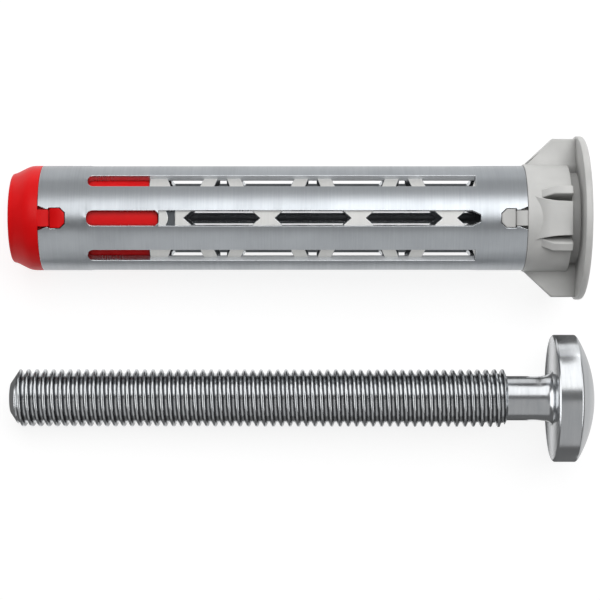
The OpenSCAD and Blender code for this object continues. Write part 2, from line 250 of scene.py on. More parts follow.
def row_plan(turn):
    """Edge marks of one row, and the stretches along it that are open."""
    straight = turn % 2 == 0
    half = row_half[turn]
    marks = round_end(WINDOW_START, WINDOW_CORNER, SLOT_HALF)
    if straight:
        openings = [(WINDOW_START, straight_end)]
        marks += [(channel_start - FAR_CORNER, SLOT_HALF), (channel_start, SLOT_HALF - FAR_CORNER),
                  (channel_start + STEP, half), (straight_end - SLOT_POINT, half),
                  (straight_end, half - SLOT_POINT / 2), (straight_end + SLOT_POINT, SLOT_HALF)]
    else:
        openings = [(WINDOW_START, slanted_end)]
        marks += [(window_end, SLOT_HALF), (window_end + STEP, half)]
    if turn in (0, REAR):
        nose, nose_end = notch(*NUT_TAB)
        mouth, mouth_end = notch(*COLLAR_TAB)
        marks = nose + marks + [(SLEEVE_L - s, width) for s, width in mouth[::-1]]
        openings += [(0, nose_end), (SLEEVE_L - mouth_end, SLEEVE_L)]
    return np.array(marks), openings


plans = [row_plan(turn) for turn in range(TURNS)]
print("openings in the sheet:", sum(len(openings) for _, openings in plans))

# %% [markdown]
# The grid has a line along the sleeve at every mark, so that corners stay sharp, and more lines
# between them. Around the sleeve each row has ten lines: its middle, its two edges, a guard line
# beyond each edge that stays put, and lines halfway between. The last line is the leg's middle.

# %% The sleeve's sheet
GUARD = 1.6
LINE_GAP = 0.6
BETWEEN_EDGES = slice(2, 6)
marks = np.concatenate([plan[:, 0] for plan, _ in plans] + [np.ravel(o) for _, o in plans])
marks = np.unique(np.concatenate([marks, [0, SLEEVE_L]]).round(4))
spans = np.maximum(1, np.ceil(np.diff(marks) / LINE_GAP)).astype(int)
lines = np.concatenate([np.linspace(a, b, n, endpoint=False)
                        for a, b, n in zip(marks[:-1], marks[1:], spans)] + [[SLEEVE_L]])
leg_middles = np.diff(ROW_ANGLES, append=360) / 2 / mm_to_degrees


def row_lines(plan, leg_middle):
    """Ten lines of one row, in mm across: -guard ... -edge ... 0 ... edge ... guard, leg middle."""
    edge = np.interp(lines, plan[:, 0], plan[:, 1])
    guard, zero, middle = (np.full_like(edge, x) for x in (GUARD, 0, leg_middle))
    between = (edge + guard) / 2
    return np.stack([-guard, -between, -edge, -edge / 2, zero, edge / 2, edge, between, guard,
                     middle], axis=1)


across = np.stack([row_lines(plan, m) for (plan, _), m in zip(plans, leg_middles)], axis=1)
sheet_degrees = across * mm_to_degrees + ROW_ANGLES[None, :, None]
sheet_degrees = sheet_degrees.reshape(len(lines), -1)
centres = (lines[:-1] + lines[1:]) / 2
solid = np.ones((len(lines) - 1, TURNS, across.shape[2]), bool)
for turn, (_, openings) in enumerate(plans):
    for start, end in openings:
        solid[(centres > start) & (centres < end), turn, BETWEEN_EDGES] = False
sheet = place(sleeve_axis, lines[:, None], SLEEVE_R, sheet_degrees)
print("sheet lines:", sheet.shape[:2], "squares left out:", int((~solid).sum()))

# %% [markdown]
# A web is a patch whose two ends follow the ends of the slots beside it: an hourglass where the
# slots are pointed, a slanted strip where they lean. The press leaves it flat, so its radius is
# a constant divided by the cosine of the angle from the row. The patches reach a little under the
# legs. A straight row's first web is split by a short fold that lies deeper. At the back a narrow
# spine with the sheet's closed seam runs down the row's middle.

# %% The pressed webs
PRESS = 0.45
FOLD_PRESS = 0.75
FOLD_START = 13.06
FOLD_END = 13.7
FOLD_BOW = 0.25
WEB_LAP = 0.3
WEB_ROWS = 7
WEB_COLUMNS = 15
# These slanted rows lean one way, and the other two the other way.
FIRST_LEAN = (1, 5)


def web_patch(turn, half, first, last, press=PRESS):
    """A patch across one row: along from first(t) to last(t), with t from -1 to 1 over the slot."""
    t = np.linspace(-1 - WEB_LAP / half, 1 + WEB_LAP / half, WEB_COLUMNS)
    inner = np.clip(t, -1, 1)
    share = np.linspace(0, 1, WEB_ROWS)[:, None]
    along = first(inner) + (last(inner) - first(inner)) * share
    degrees = t * half * mm_to_degrees
    flat = (SLEEVE_R - press) / np.cos(np.radians(degrees))
    return place(sleeve_axis, along, flat, ROW_ANGLES[turn] + degrees)


def level(at):
    """A web's end that runs straight across the row."""
    return lambda t: np.full_like(t, at)


def straight_webs(turn, half):
    """Hourglass webs: narrowest in the row's middle, WEB_W there and SLOT_POINT longer each way."""
    def pointed(middle, way):
        return lambda t: middle + way * (WEB_W / 2 + SLOT_POINT * np.abs(t))
    patches = [
        web_patch(turn, half, level(channel_start), lambda t: FOLD_START - FOLD_BOW * t ** 2),
        web_patch(turn, half, level(FOLD_START - FOLD_BOW), level(FOLD_END), FOLD_PRESS),
        web_patch(turn, half, level(FOLD_END), pointed(web_at[0], 1))]
    patches += [web_patch(turn, half, pointed(middle, -1), pointed(middle, 1))
                for middle in web_at[1:]]
    return patches


def slanted_webs(turn):
    """Slanted webs between long and short slots; a slot's end leans by LEAN from edge to edge."""
    side = 1 if turn in FIRST_LEAN else -1

    def lean(at, amount, way):
        return lambda t: at + amount * (1 - way * side * t) / 2
    half = row_half[turn]
    patches = [web_patch(turn, half, level(window_end), lean(slanted_start, LEAN, 1))]
    for k in range(CELLS):
        middle = web_at[k] + WEB_PITCH / 2
        patches.append(web_patch(turn, half, lean(web_at[k] + LONG_HALF, -LEAN, 1),
                                 lean(middle - SHORT_HALF, LEAN, -1)))
        patches.append(web_patch(turn, half, lean(middle + SHORT_HALF, -LEAN, -1),
                                 lean(web_at[k + 1] - LONG_HALF, LEAN, 1)))
    patches.append(web_patch(turn, half, lean(slanted_end, -LEAN, 1),
                             level(slanted_end + WEB_LAP)))
    return patches


web_rows = [slanted_webs(turn) if turn % 2 else straight_webs(turn, row_half[turn])
            for turn in range(TURNS)]
webs = sum(web_rows, [])
print("webs:", len(webs), "patches")

# %% The spine and its seam
SEAM_DEPTH = 0.1
SEAM_SHARE = 0.12
SPINE_SINK = 0.02
SPINE_ROWS = 40
spine_t = SPINE_HALF * np.array([-1, -0.5, -SEAM_SHARE, 0, SEAM_SHARE, 0.5, 1])
spine_r = SLEEVE_R - SPINE_SINK - SEAM_DEPTH * np.array([0, 0, 0, 1, 0, 0, 0])
spine_s = np.linspace(channel_start - WEB_LAP, straight_end + WEB_LAP, SPINE_ROWS)[:, None]
spine = place(sleeve_axis, spine_s, spine_r, ROW_ANGLES[REAR] + spine_t * mm_to_degrees)
print("spine:", spine.shape[:2], "points")

# %% [markdown]
# Solidify gives the sheet its thickness, and Bevel rounds the punched edges. Solidify counts on
# from a face's material slot: one further for the cut edges and two further for the inside. So
# the slots come in threes, for the face, its cut edge and its inside, and a place whose edges
# look different has its own three: the sheet, the webs, the folds, the slanted rows past
# their windows, and the two slanted rows at the back, whose edges lie in the dark. The folds'
# faces and those dark edges take the inside's dark tone, which is painted shade.

# %% Material slots of the sleeve
EDGE_STEP = 1
INSIDE_STEP = 2
SHEET_SLOT = 0
WEB_SLOT = 3
# The fold's face takes the inside's dark tone as painted shade; so do the rear slanted rows' edges.
FOLD_SLOT = 6
SLANT_SLOT = 9
REAR_SLANT_SLOT = 12
FOLD_PATCH = 1
sheet_slots = np.full(solid.shape, SHEET_SLOT)
sheet_slots[centres > window_end, 1::2] = SLANT_SLOT
sheet_slots[centres > window_end, REAR - 1:REAR + 2:2] = REAR_SLANT_SLOT
web_slots = [FOLD_SLOT if turn % 2 == 0 and number == FOLD_PATCH else WEB_SLOT
             for turn, patches in enumerate(web_rows) for number in range(len(patches))]
print("slots in use:", np.unique(np.append(sheet_slots, web_slots)))

# %% The sheet's thickness and its rounded edges
EDGE_ROUND = 0.05
EDGE_ANGLE = 50
sleeve = make_object("anchor_sleeve", [sheet, spine] + webs, [True, False] + [False] * len(webs),
                     closed=False, slots=[sheet_slots, SHEET_SLOT] + web_slots,
                     keep=[solid.reshape(len(lines) - 1, -1), None] + [None] * len(webs))
add_modifier(sleeve, "SOLIDIFY", thickness=SHEET * MM, offset=-1, material_offset_rim=EDGE_STEP,
             material_offset=INSIDE_STEP)
add_modifier(sleeve, "BEVEL", width=EDGE_ROUND * MM, segments=2, limit_method="ANGLE",
             angle_limit=np.radians(EDGE_ANGLE), use_clamp_overlap=False, harden_normals=True,
             material=EDGE_STEP)
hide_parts("sleeve")
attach(sleeve, "root")

# %% [markdown]
# ## The red nut
# A turned form: a nose with a rounded end, a band as wide as the sleeve, and a plug inside the
# sleeve with a threaded hole. A profile carried round the axis gives it. Corners are rounded by
# replacing each with a short curve, because moulded plastic has no sharp edges, and the rounding
# is what catches the light. Two T-shaped tabs lie in the sleeve's notches and lock the nut.

# %% Profiles and threads
TURN_STEPS = 96
THREAD_PITCH = 0.865
THREAD_R = 3.0
THREAD_DEPTH = 0.46
THREAD_FLANK = 30
THREAD_CREST = 0.09
THREAD_SHIFT = 0.46
CORNER_LIMIT = 0.45


def soften(points, radius, steps=4):
    """Replace each inner corner by the curve (1-t)^2 a + 2t(1-t) corner + t^2 b.

    The points a and b lie radius back from the corner, at most CORNER_LIMIT of a side.
    """
    points = np.array(points, float)
    corner, before, after = points[1:-1], points[:-2], points[2:]
    radius = np.broadcast_to(np.asarray(radius, float), len(corner))[:, None]
    reach_a = np.linalg.norm(before - corner, axis=1, keepdims=True)
    reach_b = np.linalg.norm(after - corner, axis=1, keepdims=True)
    a = corner + (before - corner) * np.minimum(radius / reach_a, CORNER_LIMIT)
    b = corner + (after - corner) * np.minimum(radius / reach_b, CORNER_LIMIT)
    t = np.linspace(0, 1, steps + 1)[None, :, None]
    curve = (1 - t) ** 2 * a[:, None] + 2 * t * (1 - t) * corner[:, None] + t ** 2 * b[:, None]
    return np.concatenate([points[:1], curve.reshape(-1, 2), points[-1:]])


def thread_height(s, degrees):
    """Height 0 to 1 of a rolled thread: a wedge that climbs one pitch a turn, rounded by a step."""
    phase = np.mod((s - THREAD_SHIFT) / THREAD_PITCH - degrees / 360, 1)
    flank = THREAD_DEPTH * np.tan(np.radians(THREAD_FLANK)) / THREAD_PITCH
    return smooth_step((flank + THREAD_CREST - np.abs(phase - 0.5)) / flank)


turn_degrees = np.linspace(0, 360, TURN_STEPS, endpoint=False)

# %% The nut's body
NOSE_L = 3.15
NOSE_BAND = 1.2
NOSE_FACE_R = 4.6
NOSE_ROUND = 0.45
NOSE_LIP = 0.1
PLUG_R = SLEEVE_R - SHEET - FIT_GAP
NUT_CORE = 0.5
NUT_GROOVE = 0.45
NUT_BORE_R = THREAD_R - NUT_CORE
BORE_LIP = 0.2
BORE_LEAD = 0.5
BORE_RINGS = 216
NUT_ROUNDS = [0.05, 0.45, 0.3, 0.5, 0.12, 0.05, 0.2, 0.05]
profile = soften([(NUT_BORE_R, -NOSE_L), (NUT_BORE_R + BORE_LIP, -NOSE_L),
                  (NOSE_FACE_R - NOSE_LIP, -NOSE_L), (NOSE_FACE_R, -NOSE_L + NOSE_ROUND),
                  (SLEEVE_R, -NOSE_BAND), (SLEEVE_R, 0), (PLUG_R, 0), (PLUG_R, NUT_L),
                  (NUT_BORE_R + BORE_LEAD, NUT_L), (NUT_BORE_R, NUT_L - BORE_LEAD)],
                 NUT_ROUNDS)
bore_s = np.linspace(NUT_L - BORE_LEAD, -NOSE_L, BORE_RINGS)
fade = smooth_step(np.minimum(NUT_L - BORE_LEAD - bore_s, bore_s + NOSE_L) / THREAD_PITCH)
groove = 1 - thread_height(bore_s[:, None], turn_degrees)
bore = NUT_BORE_R + NUT_GROOVE * fade[:, None] * groove
outer = np.broadcast_to(profile[:, :1], (len(profile), TURN_STEPS))
nut_r = np.concatenate([outer, bore])
nut_s = np.concatenate([profile[:, 1], bore_s])[:, None]
nut_body = place(sleeve_axis, nut_s, nut_r, turn_degrees)
print("nut rings:", len(nut_s), "of them in the bore:", BORE_RINGS)

# %% [markdown]
# Tabs, pads, ribs and wings are bars: a rounded cross section carried along the sleeve, its
# half width, foot and top changing on the way. The section starts at the foot, climbs one side,
# crosses the top and comes down the other side. At the two ends the section shrinks to its
# middle, which closes the bar, and a short run of smaller sections before that rounds its ends.

# %% Rounded bars
END_STEPS = 4
CORNER_STEPS = 5


def bar(s, half, foot, top, rounding, degrees, flat, root=0.0, fillet=0.0):
    """Sections at stations s: across = sign * half + offset, out = foot + share * height + lift."""
    quarter = np.linspace(0, np.pi / 2, END_STEPS)
    pull = rounding * (1 - np.sin(quarter))
    shift = rounding * (1 - np.cos(quarter))
    stations = np.concatenate([s[0] + shift, s[1:-1], (s[-1] - shift)[::-1]])
    pull = np.concatenate([pull, np.zeros(len(s) - 2), pull[::-1]])
    half = np.interp(stations, s, np.broadcast_to(half, len(s))) - pull
    height = np.interp(stations, s, np.broadcast_to(top, len(s))) - pull - foot
    curve = np.linspace(0, np.pi / 2, CORNER_STEPS)
    offset = np.concatenate([[-fillet, -fillet, 0], rounding * (1 - np.cos(curve))])
    share = np.concatenate([[0, 0, 0], np.ones(CORNER_STEPS)])
    lift = np.concatenate([[0, root, root + fillet], -rounding * (1 - np.sin(curve))])
    sign = np.repeat([-1, 1], len(offset))
    offset = np.concatenate([offset, -offset[::-1]])
    share = np.concatenate([share, share[::-1]])
    lift = np.concatenate([lift, lift[::-1]])
    across = half[:, None] * sign + offset
    out = foot + np.minimum(height[:, None] * share + lift, height[:, None])
    middle = foot + height[[0, -1]] / 2
    columns = np.ones(len(sign))
    across = np.concatenate([0 * columns[None], across, 0 * columns[None]])
    out = np.concatenate([middle[0] * columns[None], out, middle[1] * columns[None]])
    stations = np.concatenate([stations[:1], stations, stations[-1:]])[:, None]
    if flat:
        return place_flat(sleeve_axis, stations, out, across, degrees)
    return place(sleeve_axis, stations, out, degrees + np.degrees(across / np.max(top)))


# %% The nut's tabs
TAB_ROUND = 0.06
TAB_SINK = 0.9
TAB_ROOT = 0.3
TAB_FOOT = 0.2
GROOVE = 0.06
GROOVE_LIP = 0.09
GROOVE_DEPTH = 0.4


def tab(neck_l, neck_w, head_l, head_w, root, sign, degrees):
    """A T-shaped bar from its root: a neck, a groove, a wider head, and cut corners at its end."""
    end = neck_l + head_l
    s = np.array([-TAB_ROOT, TAB_FOOT, neck_l - GROOVE_LIP, neck_l - GROOVE, neck_l,
                  neck_l + GROOVE, neck_l + GROOVE_LIP, end - TAB_CORNER, end])
    half = np.array([neck_w] * 4 + [head_w] * 4 + [head_w - 2 * TAB_CORNER]) / 2
    top = SLEEVE_R - GROOVE_DEPTH * np.array([0, 0, 0, 1, 1, 1, 0, 0, 0])
    along = root + sign * s
    order = np.argsort(along)
    foot = SLEEVE_R - TAB_SINK
    return bar(along[order], half[order], foot, top[order], TAB_ROUND, degrees, flat=False)


nut_tabs = [tab(*NUT_TAB, 0.0, 1, degrees) for degrees in (0, 180)]
nut = make_object("threaded_nose_nut", [nut_body] + nut_tabs, [True] * 3)
add_modifier(nut, "WEIGHTED_NORMAL", keep_sharp=True)
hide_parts("threaded_nut")
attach(nut, "root")

# %% [markdown]
# ## The grey collar
# The collar is moulded in one: a spigot in the sleeve, a hub, a thin flange that stops against
# the board, two wings that keep it from turning, and a pad with a rib on each side, front and
# back. The turned part is again a profile carried round the axis. Between a pad and its ribs the
# mould leaves deep pockets, so the hub's radius falls there by a smooth step.

# %% The collar's turned part
HUB_R = 5.5
HUB_L = 4.45
HUB_EDGE = 0.15
HUB_RINGS = 34
NECK_R = 4.7
FLANGE_GAP = 0.9
FLANGE_R = 8.37
FLANGE_T = 0.72
FLANGE_ROUND = 0.35
SPIGOT_L = 3.2
PASSAGE_R = 3.25
PASSAGE_LIP = 0.3
FRONT_ROUNDS = [0.1, 0.15, 0.02, 0.1]
REAR_ROUNDS = [0.1, 0.15, 0.15, 0.12, FLANGE_ROUND, 0.2]
hub_start = SLEEVE_L + HUB_EDGE
hub_end = SLEEVE_L + HUB_L
spigot_end = SLEEVE_L - SPIGOT_L
flange_back = hub_end + FLANGE_GAP
flange_front = flange_back + FLANGE_T
hub_rings = np.linspace(hub_start, hub_end - HUB_EDGE, HUB_RINGS)
front = soften([(PASSAGE_R, spigot_end + PASSAGE_LIP), (PASSAGE_R, spigot_end),
                (PLUG_R, spigot_end), (PLUG_R, SLEEVE_L), (HUB_R, SLEEVE_L), (HUB_R, hub_start)],
               FRONT_ROUNDS)
rear = soften([(HUB_R, hub_end - HUB_EDGE), (HUB_R, hub_end), (NECK_R, hub_end),
               (NECK_R, flange_back), (FLANGE_R, flange_back), (FLANGE_R, flange_front),
               (PASSAGE_R, flange_front), (PASSAGE_R, spigot_end + PASSAGE_LIP)], REAR_ROUNDS)
hub = np.stack([np.full_like(hub_rings, HUB_R), hub_rings], axis=1)
profile = np.concatenate([front, hub[1:-1], rear])
print("collar profile:", len(profile), "points")

# %% The pockets beside the pads
POCKET_ANGLE = 19.8
POCKET_HALF = 0.34
POCKET_START = SLEEVE_L + 1.9
POCKET_DEPTH = 0.8
POCKET_SLOPE = 0.14
POCKET_SPREAD = 8
POCKET_LINES = 21
HUB_SKIN = 0.3
near = POCKET_ANGLE + np.linspace(-POCKET_SPREAD, POCKET_SPREAD, POCKET_LINES)
pocket_lines = np.concatenate([side * near + pad for pad in (0, 180) for side in (-1, 1)])
collar_degrees = np.unique(np.mod(np.concatenate([turn_degrees, pocket_lines]), 360).round(3))


def pockets(s, degrees):
    """1 inside four round-ended grooves that run from POCKET_START to the hub's end, else 0."""
    to_pad = np.abs(np.mod(degrees + 90, 180) - 90)
    across = np.radians(to_pad - POCKET_ANGLE) * HUB_R
    short = np.minimum(s - POCKET_START, 0)
    return smooth_step((POCKET_HALF - np.hypot(across, short)) / POCKET_SLOPE)


on_hub = (profile[:, 0] > HUB_R - HUB_SKIN) & (profile[:, 1] > SLEEVE_L + HUB_EDGE / 2)
on_hub &= profile[:, 1] < hub_end + MERGE / MM
collar_r = profile[:, :1] - POCKET_DEPTH * on_hub[:, None] * pockets(profile[:, 1:], collar_degrees)
collar_body = place(sleeve_axis, profile[:, 1:], collar_r, collar_degrees)
print("collar rings and lines:", collar_body.shape[:2])

# %% The collar's wings, pads, ribs and tabs
WING_R = 8.1
WING_T = 1.1
WING_LEAD = 2.97
WING_BEND = 0.6
WING_SINK = 0.4
WING_ROUND = 0.2
WING_FILLET = 0.3
PAD_R = 6.0
PAD_W = 3.5
PAD_FLARE = 1.75
PAD_FLARE_L = 0.95
PAD_LEAD = 2.21
PAD_STATIONS = 24
EDGE_SOFT = 0.12
RIB_R = 6.45
RIB_T = 0.9
RIB_ANGLE = 26.5
RIB_START = 1.2
RIB_LEAD = 1.3
FIN_ROOT_R = 4.2


def wing(degrees):
    """A flat fin: its top climbs from the sleeve's radius to WING_R, then runs to the flange."""
    end = flange_back + WING_SINK
    s = np.array([SLEEVE_L, SLEEVE_L + WING_BEND * WING_LEAD, SLEEVE_L + WING_LEAD, end])
    bend_r = SLEEVE_R + WING_BEND * (WING_R - SLEEVE_R)
    return bar(s, WING_T / 2, FIN_ROOT_R, np.array([SLEEVE_R, bend_r, WING_R, WING_R]), WING_ROUND,
               degrees, flat=True, root=HUB_R - FIN_ROOT_R, fillet=WING_FILLET)


def rib(degrees):
    """A short fin beside a pad: it starts past the sleeve's mouth and ends with the hub."""
    s = np.array([RIB_START, RIB_START + RIB_LEAD, HUB_L]) + SLEEVE_L
    top = np.array([SLEEVE_R, RIB_R, RIB_R])
    return bar(s, RIB_T / 2, FIN_ROOT_R, top, EDGE_SOFT, degrees, flat=True)


def pad(degrees):
    """A raised pad: half width w + flare * exp(-s / length), top climbing to PAD_R."""
    s = np.linspace(0, HUB_L, PAD_STATIONS)
    half = PAD_W / 2 + PAD_FLARE * np.exp(-s / PAD_FLARE_L)
    top = SLEEVE_R + (PAD_R - SLEEVE_R) * smooth_step(s / PAD_LEAD)
    return bar(s + SLEEVE_L, half, FIN_ROOT_R, top, EDGE_SOFT, degrees, flat=False)


bars = [wing(degrees) for degrees in (90, 270)]
for middle in (0, 180):
    bars += [pad(middle), rib(middle - RIB_ANGLE), rib(middle + RIB_ANGLE)]
    bars.append(tab(*COLLAR_TAB, SLEEVE_L, -1, middle))
collar = make_object("flange_collar_moulding", [collar_body] + bars, [True] * (1 + len(bars)))
add_modifier(collar, "WEIGHTED_NORMAL", keep_sharp=True)
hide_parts("flange_collar")
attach(collar, "root")

# %% [markdown]
# ## The machine screw
# The screw is one loft of rings from its point to the middle of its cross recess. Along the
# thread the radius is the smaller of two: the thread's own height, which climbs one pitch a
# turn, and the turned blank with its chamfered point and plain shank. That ends the thread as a
# rolling die does, without a cut edge. The recess is the dome's height lowered inside a cross.
# Each point also keeps a number, largest halfway up a thread's flank, where the material paints
# shade.

# %% The screw's rings
SCREW_TIP = -3.72
SCREW_L = 56.22
SHANK_L = 4.73
THREAD_OUT = 0.3
SHANK_R = 2.3
POINT_R = 1.6
POINT_L = 0.95
RINGS_PER_PITCH = 14
head_back = SCREW_TIP + SCREW_L
thread_end = head_back - SHANK_L
thread_s = np.arange(SCREW_TIP, thread_end, THREAD_PITCH / RINGS_PER_PITCH)[:, None]
blank = np.interp(thread_s, [SCREW_TIP, SCREW_TIP + POINT_L, thread_end - THREAD_OUT, thread_end],
                  [POINT_R, THREAD_R, THREAD_R, SHANK_R])
thread = THREAD_R - THREAD_DEPTH + THREAD_DEPTH * thread_height(thread_s, turn_degrees)
thread_r = np.minimum(thread, blank)
print("thread rings:", len(thread_s), "turns:", round((thread_end - SCREW_TIP) / THREAD_PITCH, 1))

# %% The screw's shank and the side of its head
SHANK_FLARE = 0.65
SHANK_FLARE_L = 1.3
SHANK_RINGS = 8
FLARE_RINGS = 9
RING_GAP = 0.03
HEAD_R = 6.59
HEAD_SIDE = 2.5
HEAD_EDGE = 0.18
HEAD_BAND = 0.5
HEAD_ROUND = 0.05
UNDER_LIP = 0.2
head_rim = head_back + HEAD_SIDE
rim_r = HEAD_R - HEAD_EDGE
under_r = SHANK_R + SHANK_FLARE
quarter = np.linspace(0, np.pi / 2, FLARE_RINGS)
flare_start = head_back - SHANK_FLARE_L
shank_s = np.linspace(thread_end + RING_GAP, flare_start - RING_GAP, SHANK_RINGS)
shank = np.stack([np.full_like(shank_s, SHANK_R), shank_s], axis=1)
hollow = np.stack([SHANK_R + SHANK_FLARE * (1 - np.cos(quarter)),
                   head_back - SHANK_FLARE_L * (1 - np.sin(quarter))], axis=1)
rim = soften([(under_r, head_back), (under_r + UNDER_LIP, head_back), (rim_r, head_back),
              (HEAD_R, head_back + HEAD_EDGE), (HEAD_R, head_back + HEAD_BAND),
              (HEAD_R, head_rim - HEAD_BAND), (HEAD_R, head_rim - HEAD_EDGE), (rim_r, head_rim)],
             HEAD_ROUND, steps=3)
head = np.concatenate([[(SHANK_R, thread_end)], shank, hollow, rim[1:]])
print("shank and head rings:", len(head))

# %% The dome and its cross recess
HEAD_DOME = 1.8
DOME_EDGE = 0.15
DOME_RINGS = 12
RECESS_R = 2.3
RECESS_ARM = 0.525
RECESS_DEPTH = 2.6
RECESS_FLOOR_R = 1.05
RECESS_LIP = 0.1
RECESS_RINGS = 34
RECESS_TURN = 45
ARM_SLOPE = 0.1
dome_r = (rim_r ** 2 + HEAD_DOME ** 2) / (2 * HEAD_DOME)
dome_out = np.append(np.linspace(rim_r - DOME_EDGE, RECESS_R + 2 * RECESS_LIP, DOME_RINGS),
                     np.linspace(RECESS_R + RECESS_LIP, 0, RECESS_RINGS))
dome_s = head_rim + HEAD_DOME - dome_r + np.sqrt(dome_r ** 2 - dome_out ** 2)
cross_turn = np.radians(turn_degrees - RECESS_TURN)
x = dome_out[:, None] * np.abs(np.cos(cross_turn))
y = dome_out[:, None] * np.abs(np.sin(cross_turn))
arm = smooth_step((RECESS_ARM + ARM_SLOPE / 2 - np.minimum(x, y)) / ARM_SLOPE)
slope = RECESS_DEPTH / (RECESS_R - RECESS_FLOOR_R)
depth = np.clip((RECESS_R - dome_out) * slope, 0, RECESS_DEPTH)[:, None]
dome_grid = dome_s[:, None] - arm * depth
print("recess depth:", depth.max().round(2), "mm")

# %% The screw in one piece
flat_ring = np.ones(TURN_STEPS)
screw_s = np.concatenate([SCREW_TIP * flat_ring[None], thread_s * flat_ring,
                          head[:, 1:] * flat_ring, dome_grid])
screw_r = np.concatenate([0 * flat_ring[None], thread_r, head[:, :1] * flat_ring,
                          dome_out[:, None] * flat_ring])
climb = thread_height(thread_s, turn_degrees)
# Where the thread's flanks get painted shade: 0 at crest and root, 1 halfway up a flank.
flank = np.zeros_like(screw_r)
flank[1:1 + len(thread_s)] = np.where(thread < blank, 4 * climb * (1 - climb), 0)
screw = make_object("pan_head_machine_screw",
                    [place(screw_axis, screw_s, screw_r, turn_degrees)], [True], flank=flank)
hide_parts("machine_screw")
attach(screw, "root")

# %% [markdown]
# ## Materials
# Colours are written as sRGB hex and turned to linear light by one function. One more function
# adds a node with its settings and its links. Patterns read Object coordinates, and a Mapping
# node of the texture kind divides them by real sizes, so a grain of 0.2 mm is typed as 0.2 mm.

# %% Colours and nodes
def linear(code):
    """sRGB hex to linear RGBA: c / 12.92 below 0.04045, else ((c + 0.055) / 1.055) ^ 2.4."""
    c = np.array([int(code[i:i + 2], 16) for i in (1, 3, 5)]) / 255
    c = np.where(c <= 0.04045, c / 12.92, ((c + 0.055) / 1.055) ** 2.4)
    return (*c.tolist(), 1.0)


def add_node(tree, kind, inputs, **settings):
    """Add a node; an input is a value, or a pair (node, output name) to link from."""
    node = tree.nodes.new(kind)
    for key, value in settings.items():
        setattr(node, key, value)
    for key, value in inputs.items():
        if isinstance(value, tuple) and isinstance(value[0], bpy.types.Node):
            tree.links.new(value[0].outputs[value[1]], node.inputs[key])
        else:
            node.inputs[key].default_value = value
    return node


def new_material(name):
    """An empty node material with its output node."""
    material = bpy.data.materials.new(name)
    material.use_nodes = True
    material.node_tree.nodes.clear()
    return material, material.node_tree


def finish_material(material, tree, shader, *pieces):
    """Link the shader to the output and give the material to its pieces."""
    add_node(tree, "ShaderNodeOutputMaterial", {"Surface": (shader, "BSDF")})
    for piece in pieces:
        piece.data.materials.append(material)
    print(material.name, "has", len(tree.nodes), "nodes")
    return material


# %% Zinc-plated steel, rolled and brushed
# The plating is a satin grey. Its fine grain runs round the axis, because the sheet was rolled
# round a mandrel and the screw was turned. Faint patches vary the tone and the gloss.
GRAIN_LENGTH = 6
GRAIN_DEPTH = 0.02
PATCH = 4
GLOSS_SPREAD = 0.04


def zinc(name, dark, light, metallic, rough, grain_mm, tilt, bump, piece, flank=None):
    """Metal whose grain is noise squeezed along the axis; patches a few mm wide vary its tone.

    With flank, a colour of painted shade, the points' number of that name mixes towards it.
    """
    material, tree = new_material(name)
    where = add_node(tree, "ShaderNodeTexCoord", {})
    grain_map = add_node(tree, "ShaderNodeMapping", {
        "Vector": (where, "Object"), "Rotation": (0.0, -tilt, 0.0),
        "Scale": (grain_mm * MM, GRAIN_LENGTH * MM, GRAIN_LENGTH * MM)}, vector_type="TEXTURE")
    grain = add_node(tree, "ShaderNodeTexNoise", {
        "Vector": (grain_map, "Vector"), "Scale": 1.0, "Detail": 3.0, "Roughness": 0.6})
    patch_map = add_node(tree, "ShaderNodeMapping", {
        "Vector": (where, "Object"), "Scale": (PATCH * MM,) * 3}, vector_type="TEXTURE")
    patch = add_node(tree, "ShaderNodeTexNoise", {
        "Vector": (patch_map, "Vector"), "Scale": 1.0, "Detail": 4.0, "Roughness": 0.55})
    tone = add_node(tree, "ShaderNodeMath", {0: (grain, "Fac"), 1: (patch, "Fac")}, operation="ADD")
    ramp = add_node(tree, "ShaderNodeMapRange", {
        "Value": (tone, "Value"), "From Min": 0.7, "From Max": 1.3})
    colour = add_node(tree, "ShaderNodeMix", {
        "Factor": (ramp, "Result"), "A": linear(dark), "B": linear(light)}, data_type="RGBA")
    # Painted shade on the thread's flanks.
    if flank is not None:
        flank_painted_shade = add_node(tree, "ShaderNodeAttribute", {}, attribute_name="flank")
        colour = add_node(tree, "ShaderNodeMix", {
            "Factor": (flank_painted_shade, "Fac"), "A": (colour, "Result"), "B": linear(flank)},
            data_type="RGBA")
    gloss = add_node(tree, "ShaderNodeMapRange", {
        "Value": (tone, "Value"), "From Min": 0.6, "From Max": 1.4,
        "To Min": rough + GLOSS_SPREAD, "To Max": rough - GLOSS_SPREAD})
    relief = add_node(tree, "ShaderNodeBump", {
        "Height": (grain, "Fac"), "Strength": bump, "Distance": GRAIN_DEPTH * MM})
    shader = add_node(tree, "ShaderNodeBsdfPrincipled", {
        "Base Color": (colour, "Result"), "Metallic": metallic, "Roughness": (gloss, "Result"),
        "Normal": (relief, "Normal")})
    return finish_material(material, tree, shader, piece)


print("zinc grain:", GRAIN_LENGTH, "mm round the axis")

# %% Finishes of the sleeve
# The sheet's outside is satin. The punch leaves its edges bright, so that they mirror what lies
# beside them; along the slanted rows they are satin, as in the photograph. The inside is dull,
# and its dark tone is painted shade inside the tube; the folds' faces and the rear slanted rows'
# edges get it too. The webs' pale tone is a painted sheen where they face the light. The order
# below is the order of the sleeve's slots.
GRAIN = 0.16
plate = zinc("zinc_plated_sheet", "#9A9EA2", "#A4A8AC", 1.0, 0.36, GRAIN, sleeve_tilt, 0.06, sleeve)
edge = zinc("zinc_punched_edge", "#BEC1C4", "#CACDD0", 1.0, 0.26, GRAIN, sleeve_tilt, 0.02, sleeve)
